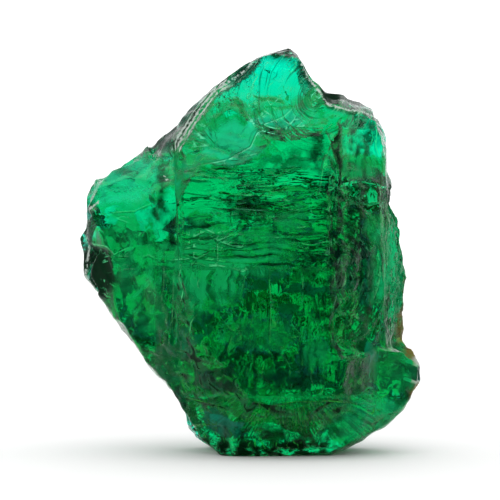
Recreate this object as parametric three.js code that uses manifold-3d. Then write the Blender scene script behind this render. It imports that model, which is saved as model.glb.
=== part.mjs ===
// A rough emerald: one broken piece of a clear green beryl crystal, uncut and unpolished.
// It stands on its one flat break. Units are millimetres, +X is right, +Y is away from the
// viewer and +Z is up. The crystal's own axis is upright, so its weak basal parting leaves
// level ledges, and everything else is shell-like (conchoidal) fracture.
import * as THREE from "three";
import { mergeVertices } from "three/addons/utils/BufferGeometryUtils.js";
import Module from "manifold-3d";

const wasm = await Module();
wasm.setup();

// Driving dimensions: half the stone's thickness, and its rim seen from the front, as
// [right, up] in the order of a clock's hand from the peak
const HALF_DEPTH = 8.8;
const RIM = [
  [2.9, 30.2], [3.6, 29.7], [3.9, 28.8], [4.3, 27.8], [5.1, 27.0], [7.0, 26.6], [8.3, 26.0],
  [9.0, 25.1], [9.6, 24.8], [10.0, 24.0], [9.9, 22.5], [10.2, 20.9], [10.3, 19.4], [10.7, 18.2],
  [11.2, 17.2], [11.1, 15.8], [11.4, 14.2], [11.8, 12.9], [11.9, 11.2], [11.5, 10.4], [11.6, 9.1],
  [11.5, 8.1], [12.2, 7.5], [12.8, 6.3], [12.8, 5.1], [12.0, 3.9], [11.7, 3.1], [10.6, 2.0],
  [8.6, 0.8], [6.2, 0.2], [5.2, -1.5], [2.6, -1.8], [-0.8, -1.8], [-1.9, -1.5], [-2.7, 0.1],
  [-4.0, 0.8], [-4.8, 2.0], [-5.1, 3.2], [-6.1, 5.0], [-8.0, 7.4], [-9.0, 8.1], [-9.9, 9.3],
  [-10.8, 11.0], [-11.8, 12.2], [-12.5, 13.1], [-12.7, 14.6], [-12.9, 15.9], [-12.4, 16.8],
  [-12.3, 19.4], [-11.8, 20.2], [-10.0, 21.2], [-8.2, 22.4], [-7.0, 23.1], [-5.2, 24.9],
  [-3.6, 26.6], [-2.8, 27.3], [-1.7, 27.8], [-0.2, 29.0], [0.8, 29.6], [1.9, 30.0],
];
const RIM_CENTRE = [0.6, 14.2];
const EMERALD_GREEN = "#0a8f4c";

// Seeded random numbers, so that the stone is the same each time
function seeded(seed) {
  let state = seed;
  return () => {
    state = (state * 1664525 + 1013904223) >>> 0;
    return state / 4294967296;
  };
}

// A closed three.js geometry as a solid that can be cut and joined
function solidOf(geometry) {
  const bare = geometry.clone();
  bare.deleteAttribute("normal");
  bare.deleteAttribute("uv");
  const merged = mergeVertices(bare, 1e-4);
  return new wasm.Manifold(
    new wasm.Mesh({
      numProp: 3,
      vertProperties: merged.attributes.position.array,
      triVerts: new Uint32Array(merged.index.array),
    }),
  );
}

// The blank: the rim drawn in towards a middle line in rings, fattest halfway through the
// stone, with each corner a little out of true as broken stone is.
const RING_DEPTHS = [-1, -0.9, -0.72, -0.5, -0.27, -0.03, 0.18, 0.4, 0.62, 0.84, 1];
const RIM_DEPTH = 0.08;
const CREST_WIDTH = 0.13;
const ROUNDNESS = 3.8;
const CAP_AWAY = 0.985;
const RING_SMOOTHING = 3;
const CORNER_WANDER = 0.4;
const BLANK_SEED = 11;

function smoothed(rim, times) {
  let points = rim;
  for (let turn = 0; turn < times; turn++) {
    points = points.map((point, i) => {
      const before = points.at(i - 1);
      const after = points[(i + 1) % points.length];
      return [0, 1].map((k) => (before[k] + 2 * point[k] + after[k]) / 4);
    });
  }
  return points;
}

function blankSolid() {
  const random = seeded(BLANK_SEED);
  const [middleX, middleZ] = RIM_CENTRE;
  const points = [];
  const faces = [];
  for (const depth of RING_DEPTHS) {
    const away = Math.abs(depth - RIM_DEPTH) / (1 + Math.abs(RIM_DEPTH));
    const share = (1 - Math.min(away, CAP_AWAY) ** ROUNDNESS) ** (1 / ROUNDNESS);
    const atRim = away < CREST_WIDTH;
    for (const [x, z] of atRim ? RIM : smoothed(RIM, RING_SMOOTHING)) {
      const wander = atRim ? 0 : CORNER_WANDER * (random() - 0.5);
      points.push(
        middleX + (x - middleX) * share + wander,
        depth * HALF_DEPTH + wander,
        middleZ + (z - middleZ) * share + wander,
      );
    }
  }
  const around = RIM.length;
  for (let ring = 0; ring + 1 < RING_DEPTHS.length; ring++) {
    for (let i = 0; i < around; i++) {
      const next = (i + 1) % around;
      const a = ring * around + i;
      const b = ring * around + next;
      const c = a + around;
      const d = b + around;
      faces.push(a, b, c, b, d, c);
    }
  }
  const front = points.length / 3;
  points.push(middleX, -HALF_DEPTH, middleZ, middleX, HALF_DEPTH, middleZ);
  const lastRing = (RING_DEPTHS.length - 1) * around;
  for (let i = 0; i < around; i++) {
    const next = (i + 1) % around;
    faces.push(front, next, i, front + 1, lastRing + i, lastRing + next);
  }
  const geometry = new THREE.BufferGeometry();
  geometry.setAttribute("position", new THREE.Float32BufferAttribute(points, 3));
  geometry.setIndex(faces);
  return solidOf(geometry);
}

// The way a break faces: turn is degrees to the right of the viewer, lean is degrees upwards.
function facing(turn, lean) {
  const turned = THREE.MathUtils.degToRad(turn);
  const leaned = THREE.MathUtils.degToRad(lean);
  return new THREE.Vector3(
    Math.sin(turned) * Math.cos(leaned),
    -Math.cos(turned) * Math.cos(leaned),
    Math.sin(leaned),
  );
}

// Everything outside one flat break, as a block large enough to cut the whole stone
const CUTTER_SIZE = 90;
const UP = new THREE.Vector3(0, 0, 1);

function outside({ through, turn, lean }) {
  const block = new THREE.BoxGeometry(CUTTER_SIZE, CUTTER_SIZE, CUTTER_SIZE);
  block.translate(0, 0, CUTTER_SIZE / 2);
  block.applyQuaternion(new THREE.Quaternion().setFromUnitVectors(UP, facing(turn, lean)));
  block.translate(...through);
  return solidOf(block);
}

// Flat breaks. One plane cuts a face; two or three together cut a notch with an inside corner.
const BREAKS = [
  // the main face, the long slope above it that rises to the peak, and the flat at the peak
  [{ through: [2, -8.3, 10], turn: 2, lean: 3 }],
  [{ through: [0, -7.75, 22], turn: -17.6, lean: 36 }],
  [{ through: [2.6, -1.9, 29.7], turn: 10, lean: 66 }],
  // the right face, sprung off above a ledge, with the plain corner left below it
  [
    { through: [5.6, -8.0, 14], turn: 37, lean: 3 },
    { through: [8, -6, 7.9], turn: 14, lean: 66 },
  ],
  [{ through: [7.2, -8.0, 6], turn: 30, lean: -2 }],
  [
    { through: [9.8, -4.6, 14], turn: 66, lean: 3 },
    { through: [10.2, -4.0, 8.1], turn: 50, lean: 70 },
  ],
  // the underside of the front
  [{ through: [0, -8.5, 4.1], turn: 4, lean: -42 }],
  [{ through: [8.4, -7.0, 4.2], turn: 30, lean: -36 }],
  [{ through: [11.0, -3.6, 2.9], turn: 46, lean: -36 }],
  [{ through: [-3.9, -5.2, 2.0], turn: -46, lean: -30 }],
  // the step down to the left lobe, and the lobe's own faces
  [
    { through: [-5.35, -6.4, 14], turn: -86, lean: 0 },
    { through: [-5.35, -6.2, 14], turn: -20, lean: 5 },
  ],
  [
    { through: [-8.6, -5.0, 19.2], turn: -22, lean: 48 },
    { through: [-5.5, -6.0, 20.0], turn: -80, lean: 8 },
  ],
  [{ through: [-10.0, -4.5, 13.6], turn: -54, lean: -10 }],
  [{ through: [-9.4, -4.4, 9.0], turn: -36, lean: -26 }],
  [{ through: [-12.5, -1.6, 15.8], turn: -80, lean: 4 }],
  // the steep band along the upper left edge, which stops above the left lobe
  [
    { through: [-5.6, -6.4, 21.4], turn: -68, lean: 38 },
    { through: [-7.4, 0, 22.4], turn: 84, lean: 24 },
  ],
  // the hollow behind the right shoulder, with its wall up to the peak
  [
    { through: [6.3, -6.8, 25.3], turn: 10, lean: 74 },
    { through: [4.6, -3.0, 27.9], turn: 80, lean: 33 },
  ],
  // the back, broken along the parting into a stair of upright walls and narrow ledges, and
  // deeper behind the left half of the front
  [
    { through: [2, 1.2, 25], turn: 178, lean: 4 },
    { through: [0, 2.0, 20.7], turn: 166, lean: 64 },
  ],
  [
    { through: [2, 2.1, 22], turn: 182, lean: 3 },
    { through: [-4, 2.1, 14.8], turn: 148, lean: 62 },
    { through: [-0.4, 2, 18], turn: -98, lean: 2 },
  ],
  [
    { through: [2, 4.2, 18], turn: 184, lean: 3 },
    { through: [0, 4.2, 18.0], turn: 192, lean: 66 },
  ],
  [
    { through: [0, 4.2, 15], turn: 184, lean: 3 },
    { through: [0, 4.2, 11.8], turn: 152, lean: 62 },
    { through: [2.2, 4, 15], turn: -100, lean: 2 },
  ],
  [
    { through: [2, 6.2, 16], turn: 177, lean: 4 },
    { through: [0, 6.2, 15.6], turn: 170, lean: 62 },
  ],
  [{ through: [3, 8.0, 12], turn: 179, lean: 2 }],
  // its hollow right corner, and the rough face outside it
  [
    { through: [2.4, 7.9, 14], turn: 146, lean: 2 },
    { through: [6, 6, 7.8], turn: 140, lean: 72 },
  ],
  [
    { through: [10.8, 3.4, 14], turn: 112, lean: 0 },
    { through: [10.6, 2.4, 7.9], turn: 120, lean: 68 },
  ],
  [{ through: [8.6, 5.2, 6], turn: 140, lean: -22 }],
  // its left corner
  [{ through: [-4, 7.6, 13], turn: 190, lean: -2 }],
  [{ through: [-8.2, 6.4, 13], turn: 215, lean: -2 }],
  [{ through: [-10.2, 4.6, 17], turn: 228, lean: 20 }],
  [{ through: [-9.8, 3.4, 10.6], turn: 234, lean: -22 }],
  // its underside, and the foot that leans in below it
  [
    { through: [1, 7.9, 8.2], turn: 177, lean: -46 },
    { through: [0, 4, 3.5], turn: 180, lean: 80 },
  ],
  [
    { through: [1, 4.2, 3.6], turn: 176, lean: -26 },
    { through: [0, 6, 4.0], turn: 180, lean: -72 },
  ],
  [{ through: [-3.4, 4.4, 2.6], turn: 222, lean: -30 }],
];

// Shell-like fractures: balls with rings round the point where the break began. The ball bites
// the stone at "at", to "bite" deep, and its rings spread from "from".
const SCOOPS = [
  // the hollow under the peak, the bright bowl beside it and the lip below them
  { at: [1.9, -4.1, 26.4], turn: -12, lean: 36, radius: 8, bite: 0.5, from: [0.8, 0.3], rings: 7 },
  { at: [-0.9, -6.4, 23.0], turn: -16, lean: 36, radius: 5.2, bite: 0.6, from: [0.7, 0.8], rings: 4 },
  { at: [3.2, -6.6, 24.6], turn: -6, lean: 30, radius: 5.6, bite: 0.6, from: [0.9, 0.1], rings: 3 },
  { at: [3.0, -7.6, 24.0], turn: -4, lean: 14, radius: 5, bite: 0.5, from: [0.2, 1.0], rings: 3 },
  // the ringed hollow of the right face and the one above it
  { at: [8.2, -6.4, 12.8], turn: 38, lean: 2, radius: 9, bite: 0.75, from: [-0.9, 0.1], rings: 8 },
  { at: [8.6, -5.2, 21.2], turn: 38, lean: 12, radius: 8, bite: 0.6, from: [0.1, 1.0], rings: 4 },
  { at: [9.6, -5.6, 5.6], turn: 34, lean: -8, radius: 9, bite: 0.5, from: [0.9, 0.2], rings: 4 },
  { at: [11.4, -2.2, 16.6], turn: 72, lean: 4, radius: 5, bite: 0.5, from: [0.4, 0.9], rings: 4 },
  { at: [11.6, 1.6, 11.6], turn: 92, lean: 0, radius: 4, bite: 0.5, from: [-0.4, 0.9], rings: 4 },
  { at: [10.4, 1.0, 20.6], turn: 96, lean: 4, radius: 6, bite: 0.4, from: [-0.4, -0.9], rings: 4 },
  // the left lobe
  { at: [-9.0, -5.0, 11.8], turn: -26, lean: -10, radius: 10, bite: 0.7, from: [-0.9, 0.5], rings: 5 },
  { at: [-8.8, -5.0, 18.6], turn: -22, lean: 34, radius: 8, bite: 0.5, from: [0.8, 0.6], rings: 4 },
  // the underside of the front
  { at: [0.8, -6.8, 2.4], turn: 0, lean: -42, radius: 7.5, bite: 0.5, from: [-0.8, -0.5], rings: 5 },
  { at: [6.4, -6.4, 2.6], turn: 14, lean: -42, radius: 6.5, bite: 0.5, from: [0.6, -0.8], rings: 4 },
  // the band of the upper left edge
  { at: [-5.6, -2.8, 24.0], turn: -68, lean: 38, radius: 10, bite: 0.35, from: [0.9, 0.6], rings: 6 },
  // back
  { at: [1.6, 7.9, 11.4], turn: 178, lean: 2, radius: 15, bite: 0.6, from: [0.7, 0.8], rings: 8 },
  { at: [1.8, 1.6, 26.4], turn: 180, lean: 8, radius: 9, bite: 0.3, from: [-0.6, 0.8], rings: 6 },
  { at: [-2.6, 1.7, 23.0], turn: 184, lean: 0, radius: 9, bite: 0.4, from: [0.8, 0.6], rings: 5 },
  { at: [7.2, 1.8, 22.6], turn: 172, lean: 6, radius: 7, bite: 0.4, from: [0.8, 0.5], rings: 4 },
  { at: [7.6, 4.8, 13.6], turn: 134, lean: 2, radius: 9, bite: 0.5, from: [0.8, -0.5], rings: 6 },
  { at: [-7.8, 6.3, 12.4], turn: 200, lean: -4, radius: 10, bite: 0.6, from: [-0.4, -0.9], rings: 6 },
  { at: [-8.6, 1.8, 19.4], turn: 190, lean: 20, radius: 7, bite: 0.4, from: [0.5, 0.9], rings: 4 },
  { at: [2.4, 6.0, 5.8], turn: 176, lean: -42, radius: 8, bite: 0.4, from: [0.9, -0.3], rings: 5 },
];
const RING_HEIGHT = 0.14;
const RING_STEPS = 3;
const RING_SPAN = 1.25;
const RING_REACH = 0.75;
const BALL_STEPS = [1.6, 2.1, 2.6];
const BALL_SECTIONS = 46;

function scoopSolid({ at, turn, lean, radius, bite, from, rings }) {
  const out = facing(turn, lean);
  const side = UP.clone().cross(out).normalize();
  const above = out.clone().cross(side);
  const pole = out
    .clone()
    .negate()
    .addScaledVector(side, RING_REACH * from[0])
    .addScaledVector(above, RING_REACH * from[1])
    .normalize();
  const profile = [];
  for (let i = 0; i <= rings * RING_STEPS; i++) {
    const angle = (RING_SPAN * i) / (rings * RING_STEPS);
    const ridge = Math.abs(Math.sin((Math.PI * i) / RING_STEPS));
    const reach = radius - RING_HEIGHT * ridge;
    profile.push(new THREE.Vector2(reach * Math.sin(angle), -reach * Math.cos(angle)));
  }
  for (const angle of BALL_STEPS) {
    profile.push(new THREE.Vector2(radius * Math.sin(angle), -radius * Math.cos(angle)));
  }
  profile.push(new THREE.Vector2(0, radius));
  const ball = new THREE.LatheGeometry(profile, BALL_SECTIONS);
  const down = new THREE.Vector3(0, -1, 0);
  ball.applyQuaternion(new THREE.Quaternion().setFromUnitVectors(down, pole));
  const centre = new THREE.Vector3(...at).addScaledVector(out, radius - bite);
  ball.translate(centre.x, centre.y, centre.z);
  return solidOf(ball);
}

// Level ledges of the basal parting across the front: each is a flat-roofed or flat-floored
// sliver sprung off the face, as [right, up, width, height, depth, roof (1) or floor (-1)].
const LEDGES = [
  [-2.2, 20.4, 7.4, 0.9, 1.1, 1],
  [2.4, 19.6, 8.0, 0.6, 1.2, -1],
  [-0.8, 18.8, 10.4, 0.7, 1.0, 1],
  [1.2, 17.6, 8.4, 1.1, 1.2, 1],
  [-3.0, 16.4, 5.4, 0.5, 0.9, -1],
  [3.0, 15.9, 6.0, 0.8, 0.9, 1],
  [-1.6, 15.0, 8.8, 0.9, 0.8, -1],
  [1.8, 13.8, 5.0, 0.5, 0.6, 1],
];
const FRONT_FACE = -8.3;
const SLIVER_REACH = 2.6;
const SLIVER_TAPER = 0.66;
const SLIVER_SIDES = 16;

function sliverSolid([x, z, width, height, depth, flatSide]) {
  const sliver = new THREE.CylinderGeometry(1, SLIVER_TAPER, 1, SLIVER_SIDES);
  sliver.rotateX((flatSide * Math.PI) / 2);
  sliver.scale(width / 2, SLIVER_REACH, height);
  sliver.translate(x, FRONT_FACE - SLIVER_REACH + depth, z);
  return solidOf(sliver);
}

// Small flat chips knocked off below the peak, in front of the rim's crest and behind it
const CHIP_SEED = 41;
const CHIP_CHANCE = 0.75;
const CHIP_SIZE = [2.4, 4.6];
const CHIP_BITE = [0.1, 0.4];
const CHIP_TILT = [30, 62];
const CHIP_PAST_CREST = 0.7;
const CHIP_HEIGHTS = [1.5, 24.6];

function chipSolids() {
  const random = seeded(CHIP_SEED);
  const between = ([low, high]) => low + (high - low) * random();
  const chips = [];
  for (const [x, z] of smoothed(RIM, 1)) {
    const size = between(CHIP_SIZE);
    const bite = between(CHIP_BITE);
    const side = random() < 0.5 ? -1 : 1;
    const tilt = THREE.MathUtils.degToRad(between(CHIP_TILT)) * side;
    const spared = z < CHIP_HEIGHTS[0] || z > CHIP_HEIGHTS[1];
    if (random() > CHIP_CHANCE || spared) continue;
    const outward = new THREE.Vector3(x - RIM_CENTRE[0], 0, z - RIM_CENTRE[1]).normalize();
    const faced = outward.clone().multiplyScalar(Math.cos(tilt));
    faced.y = Math.sin(tilt);
    const y = RIM_DEPTH * HALF_DEPTH + CHIP_PAST_CREST * side;
    const block = new THREE.BoxGeometry(size, size, size);
    block.translate(0, 0, size / 2);
    block.applyQuaternion(new THREE.Quaternion().setFromUnitVectors(UP, faced));
    block.translate(x - outward.x * bite, y, z - outward.z * bite);
    chips.push(solidOf(block));
  }
  return chips;
}

// The stone: the blank, its breaks, its scoops and ledges, and last the flat break it rests on
const RESTING_BREAK = { through: [0, 0, 0], turn: 0, lean: -90 };

function emeraldGeometry() {
  let stone = blankSolid();
  for (const planes of BREAKS) {
    stone = stone.subtract(planes.map(outside).reduce((a, b) => a.intersect(b)));
  }
  for (const scoop of SCOOPS) stone = stone.subtract(scoopSolid(scoop));
  for (const ledge of LEDGES) stone = stone.subtract(sliverSolid(ledge));
  for (const chip of chipSolids()) stone = stone.subtract(chip);
  stone = stone.subtract(outside(RESTING_BREAK));

  const { vertProperties, numProp, numVert, triVerts } = stone.getMesh();
  const positions = new Float32Array(numVert * 3);
  for (let i = 0; i < numVert; i++) {
    positions.set(vertProperties.subarray(i * numProp, i * numProp + 3), i * 3);
  }
  const geometry = new THREE.BufferGeometry();
  geometry.setAttribute("position", new THREE.BufferAttribute(positions, 3));
  geometry.setIndex(new THREE.BufferAttribute(triVerts, 1));
  geometry.computeVertexNormals();
  geometry.computeBoundingBox();
  const { min, max } = geometry.boundingBox;
  geometry.translate(-(min.x + max.x) / 2, -(min.y + max.y) / 2, -min.z);
  return geometry;
}

const clearBeryl = new THREE.MeshStandardMaterial({
  color: EMERALD_GREEN,
  roughness: 0.15,
  metalness: 0,
  flatShading: true,
});
const emerald = new THREE.Mesh(emeraldGeometry(), clearBeryl);
emerald.name = "emerald";

const part = new THREE.Group();
part.add(emerald);
export default part;
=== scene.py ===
# A rough emerald: one broken piece of clear green beryl, standing on its flat resting break.
# Blender works in metres. Sizes of the stone's relief are in millimetres, as their comments say.
import math
import random

import bpy
import numpy as np
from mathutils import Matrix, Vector, noise
from mathutils.bvhtree import BVHTree


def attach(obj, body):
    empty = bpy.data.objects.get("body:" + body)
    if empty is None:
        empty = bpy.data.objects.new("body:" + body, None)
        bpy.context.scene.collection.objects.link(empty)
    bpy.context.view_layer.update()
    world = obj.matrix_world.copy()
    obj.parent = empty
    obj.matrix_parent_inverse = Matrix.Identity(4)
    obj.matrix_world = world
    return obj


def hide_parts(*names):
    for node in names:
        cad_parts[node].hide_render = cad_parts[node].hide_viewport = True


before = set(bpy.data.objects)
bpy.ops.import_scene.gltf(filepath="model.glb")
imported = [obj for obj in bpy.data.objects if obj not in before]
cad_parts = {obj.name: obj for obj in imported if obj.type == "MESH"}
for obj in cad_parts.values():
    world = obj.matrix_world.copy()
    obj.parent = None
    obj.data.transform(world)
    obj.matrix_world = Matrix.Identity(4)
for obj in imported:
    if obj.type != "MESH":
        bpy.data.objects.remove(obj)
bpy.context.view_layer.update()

scene = bpy.context.scene


# The camera stands level with the middle of the stone and looks straight at its front. Across
# the stone's middle plane the square picture is 37.5 mm wide, so one of 500 pixels is 0.075 mm.
MM = 0.001
PICTURE_WIDTH = 37.5 * MM
CAMERA_DISTANCE = 156.25 * MM
CAMERA_HEIGHT = 15.04 * MM
SENSOR_WIDTH = 36

camera = bpy.data.objects.new("camera", bpy.data.cameras.new("camera"))
camera.data.sensor_width = SENSOR_WIDTH
camera.data.lens = SENSOR_WIDTH * CAMERA_DISTANCE / PICTURE_WIDTH
camera.data.clip_start = 5 * MM
camera.location = (0, -CAMERA_DISTANCE, CAMERA_HEIGHT)
camera.rotation_euler = (math.pi / 2, 0, 0)
scene.collection.objects.link(camera)
scene.camera = camera


# The stone's body: one piece of beryl broken out of a larger crystal. The CAD stone is taken at
# a fine grain, so that the small relief of each break can be pressed into its surface.
FINE_GRAIN = 0.13 * MM
MOST_TRIANGLES = 160000

stone = bpy.data.objects.new("emerald_stone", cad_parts["emerald"].data.copy())
scene.collection.objects.link(stone)


def applied(piece, kind, **settings):
    """Gives a piece one modifier and keeps the mesh that it makes."""
    modifier = piece.modifiers.new(kind.lower(), kind)
    for name, value in settings.items():
        setattr(modifier, name, value)
    depsgraph = bpy.context.evaluated_depsgraph_get()
    mesh = bpy.data.meshes.new_from_object(piece.evaluated_get(depsgraph))
    piece.modifiers.clear()
    piece.data = mesh


applied(stone, "REMESH", mode="VOXEL", voxel_size=FINE_GRAIN)
applied(stone, "SMOOTH", factor=0.5, iterations=4)


# Places and normals of the stone's vertices, one row each, and ways to mark out a region of it
def vertex_rows(mesh):
    rows = []
    for values, kind in ((mesh.vertices, "co"), (mesh.vertex_normals, "vector")):
        flat = np.empty(len(values) * 3)
        values.foreach_get(kind, flat)
        rows.append(flat.reshape(-1, 3))
    return rows[0] / MM, rows[1]


def eased(share):
    share = np.clip(share, 0, 1)
    return share * share * (3 - 2 * share)


def near(centre, reach):
    """1 at centre, falling to 0 at reach, both in mm. Reach is one number or one for each axis."""
    return eased(1 - np.linalg.norm((places - np.array(centre)) / np.array(reach), axis=1))


def patch(left, right, bottom, top, soft=0.8):
    """1 within a box seen from the front, falling to 0 over soft mm inside its edges."""
    inward = np.minimum(np.minimum(x - left, right - x), np.minimum(z - bottom, top - z))
    return eased(inward / soft)


def way(turn, lean):
    """The direction that faces turn degrees to the viewer's right and lean degrees up."""
    turned, leaned = math.radians(turn), math.radians(lean)
    return Vector((math.sin(turned) * math.cos(leaned), -math.cos(turned) * math.cos(leaned),
                   math.sin(leaned)))


def facing(turn, lean, spread=50):
    """1 where the surface faces turn and lean, falling to 0 at one and a half times spread."""
    angle = np.degrees(np.arccos(np.clip(normals @ np.array(way(turn, lean)), -1, 1)))
    return eased(1.5 - angle / spread)


def grain(size, seed, octaves=3):
    """Noise from about -1 to 1. Size is its grain in mm, one number or one for each axis."""
    offset = Vector((seed, 2.3 * seed, -1.7 * seed))
    scaled = places / np.array(size)
    return np.array([noise.fractal(Vector(p) + offset, 0.6, 2.1, octaves) for p in scaled])


def bowls(size, seed, sway):
    """Shell-like pits side by side: 0 at the middle of each, about 1 on the ridges between."""
    offset = Vector((seed, 2.3 * seed, -1.7 * seed))
    scaled = (places + sway[:, None]) / np.array(size)
    return np.array([noise.voronoi(Vector(p) + offset)[0][0] for p in scaled]) ** 2


def blocks(along, seed):
    """A height from -1 to 1 that stays level over each whole number and jumps between them."""
    return 2 * np.modf(np.abs(np.sin((np.floor(along) + seed) * 12.9898) * 43758.5453))[0] - 1


def line_distance(points):
    """How far each vertex is from a line of [right, up] points in mm, seen from the front,
    on which side of it (1 to the left of its run, or -1), and how far along it, from 0 to 1."""
    lengths = [math.dist(a, b) for a, b in zip(points, points[1:])]
    best = np.full(len(places), 1e9)
    side = np.ones(len(places))
    along = np.zeros(len(places))
    passed = 0
    for (x0, z0), (x1, z1), length in zip(points, points[1:], lengths):
        run, rise = x1 - x0, z1 - z0
        share = np.clip(((x - x0) * run + (z - z0) * rise) / length ** 2, 0, 1)
        away = np.hypot(x - x0 - share * run, z - z0 - share * rise)
        closer = away < best
        best[closer] = away[closer]
        side[closer] = np.sign(run * (z - z0) - rise * (x - x0))[closer]
        along[closer] = ((passed + share * length) / sum(lengths))[closer]
        passed += length
    return best, side, along


places, normals = vertex_rows(stone.data)
x, y, z = places.T
front = eased((-0.1 - normals[:, 1]) / 0.3)
back = facing(180, 0, 55)
drift = grain((3.4, 3.4, 1.6), 5.2)
sway = grain((2.2, 2.2, 7.0), 8.4)

# Broken beryl is never quite flat: a slow roll with a finer one on it, in mm
relief = 0.12 * grain(2.9, 3.1) + 0.02 * grain(0.75, 9.7)

# Level steps of the basal parting, across the middle of the front and all over the back
steps_region = near((0.2, -8.0, 17.6), (9.5, 9, 8)) * facing(0, 0)
relief += 0.09 * blocks(z / 0.55 + 1.6 * drift, 1) * steps_region
relief += 0.08 * blocks(z / 0.8 + 1.6 * drift, 4) * back

# Upright growth lines, which run down the front below the steps and down the back
upright_region = near((1.0, -8.0, 10.0), (10, 9, 13)) * facing(10, 0)
relief += 0.05 * blocks(x / 0.8 + 1.5 * sway, 2) * upright_region
relief += 0.06 * blocks(x / 0.9 + 1.5 * sway, 3) * back * eased((8 - x) / 4)

# Shell-like pits, deep over the lower back and shallow over the rest
lower_back = facing(180, 0, 34) * eased((17 - z) / 6)
relief += 0.60 * (bowls((2.6, 2.6, 2.0), 1.5, 0.4 * drift) - 0.6) * lower_back
relief += 0.16 * (bowls(1.9, 6.5, 0.2 * drift) - 0.5)

# Lines where a break jumped from one level to another: points in mm as seen from the front,
# the height of the jump, and how far from the line it fades out
JUMPS = [
    {"line": [(2.8, 26.2), (3.1, 25.5), (2.4, 24.8), (1.0, 24.2), (0.4, 23.4), (0, 22.5),
              (-1.6, 21.6), (-4.6, 20.9)], "height": 0.10, "fade": 1.0},
    {"line": [(2.2, 24.5), (3.0, 23.9), (4.4, 23.8), (5.7, 23.85)], "height": 0.12, "fade": 0.8},
    {"line": [(5.9, 22.6), (5.4, 22.0), (5.1, 20.7), (4.9, 19.3), (4.5, 18.4)], "height": -0.14,
     "fade": 0.5},
    {"line": [(5.7, 22.2), (6.0, 21.4), (6.2, 19.9), (6.0, 18.1), (6.0, 16.0)], "height": 0.14,
     "fade": 0.5},
    {"line": [(9.0, 24.6), (9.2, 23.6), (9.1, 22.6), (9.5, 21.6)], "height": 0.10, "fade": 0.5},
    {"line": [(-10.5, 17.7), (-8.4, 17.8), (-7.5, 18.2), (-6.6, 18.5)], "height": 0.14,
     "fade": 1.0},
    {"line": [(-11.9, 15.5), (-10.5, 15.2), (-9.9, 14.6), (-9.4, 14.9), (-8.6, 15.2)],
     "height": 0.18, "fade": 0.9},
    {"line": [(6.0, 16.3), (6.8, 15.8), (7.5, 15.4), (8.1, 14.5), (8.3, 13.7), (8.2, 13.1),
              (7.8, 11.9), (7.2, 10.7)], "height": 0.16, "fade": 0.5},
    {"line": [(7.0, 19.8), (8.2, 19.9), (9.5, 19.7)], "height": 0.2, "fade": 0.6},
    {"line": [(-5.2, 16.3), (-4.0, 15.9), (-3.2, 16.3), (-2.3, 15.6), (-1.2, 16.1), (0.6, 16.0)],
     "height": 0.14, "fade": 0.6},
    {"line": [(-6.0, 14.2), (-3.7, 14.4), (-1.5, 14.1)], "height": 0.10, "fade": 0.5},
    {"line": [(1.3, 13.8), (1.4, 11.0), (1.3, 7.9)], "height": 0.12, "fade": 0.5},
    {"line": [(3.7, 13.3), (3.6, 11.2)], "height": 0.12, "fade": 0.5},
    {"line": [(-4.1, 16.3), (-4.1, 14.2)], "height": 0.08, "fade": 0.5},
    {"line": [(-2.4, 16.3), (-2.4, 14.2)], "height": 0.08, "fade": 0.5},
    {"line": [(-2.1, 10.1), (-1.3, 9.2), (-0.3, 9.6)], "height": 0.12, "fade": 0.5},
    {"line": [(-1.3, 9.2), (-1.8, 7.5)], "height": 0.12, "fade": 0.5},
    {"line": [(-3.7, 10.7), (-4.3, 9.9), (-4.4, 9.0)], "height": 0.14, "fade": 0.4},
    {"line": [(1.9, 7.9), (2.8, 6.8), (2.7, 5.6)], "height": 0.12, "fade": 0.5},
    {"line": [(-6.3, 14.4), (-6.3, 11.6)], "height": 0.14, "fade": 0.5},
    {"line": [(-5.6, 13.2), (-5.7, 8.7)], "height": 0.12, "fade": 0.5},
    {"line": [(1.4, 4.05), (5.4, 4.2), (7.8, 3.9)], "height": 0.2, "fade": 0.5},
    {"line": [(-4.7, 4.2), (-2.4, 3.8)], "height": 0.2, "fade": 0.5},
    {"line": [(-4.2, 2.2), (-2.1, 2.3)], "height": 0.2, "fade": 0.5},
    {"line": [(-1.2, 20.2), (0.6, 20.4), (2.7, 20.1)], "height": 0.14, "fade": 0.3},
    {"line": [(-0.7, 19.7), (1.0, 19.5), (2.9, 19.6)], "height": -0.14, "fade": 0.3},
    {"line": [(-3.0, 20.8), (-2.0, 20.5), (-0.8, 20.4)], "height": 0.12, "fade": 0.4},
    {"line": [(-1.7, 18.9), (0.6, 18.85), (2.3, 18.8)], "height": 0.3, "fade": 0.45},
    {"line": [(-1.5, 17.9), (0.6, 17.8), (2.0, 17.9)], "height": -0.3, "fade": 0.45},
]
for jump in JUMPS:
    away, side, _ = line_distance(jump["line"])
    level = np.clip(away * side / 0.12, -1, 1)
    relief += jump["height"] * 0.5 * level * np.exp(-away / jump["fade"]) * front

# The gnawed crust down the right edge, in mm
crust = eased((x - 9.4) / 1.4) * eased((z - 8.0) / 2.0) * eased((20.6 - z) / 2.0)
relief -= 0.22 * np.abs(grain((0.5, 0.5, 0.9), 4.4, 3)) * crust

# The edges between breaks wander: a slow shift to the side in mm, greatest deep in the back
wander = 0.45 * np.stack([grain(2.4, 21.5, 2), np.zeros(len(x)), grain(2.4, 33.5, 2)], axis=1)
wander[:, 0] += 0.22 * grain(0.9, 41.5, 2)
wander_share = np.maximum(eased((y - 1.0) / 2.5), 0.6 * patch(-8, 9.5, 2.5, 27.5, 2.0) * front)
moved = places + normals * relief[:, None] + wander * wander_share[:, None]
stone.data.vertices.foreach_set("co", (moved * MM).ravel())
stone.data.update()
triangles = sum(len(face.vertices) - 2 for face in stone.data.polygons)
applied(stone, "DECIMATE", ratio=MOST_TRIANGLES / triangles)


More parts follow.
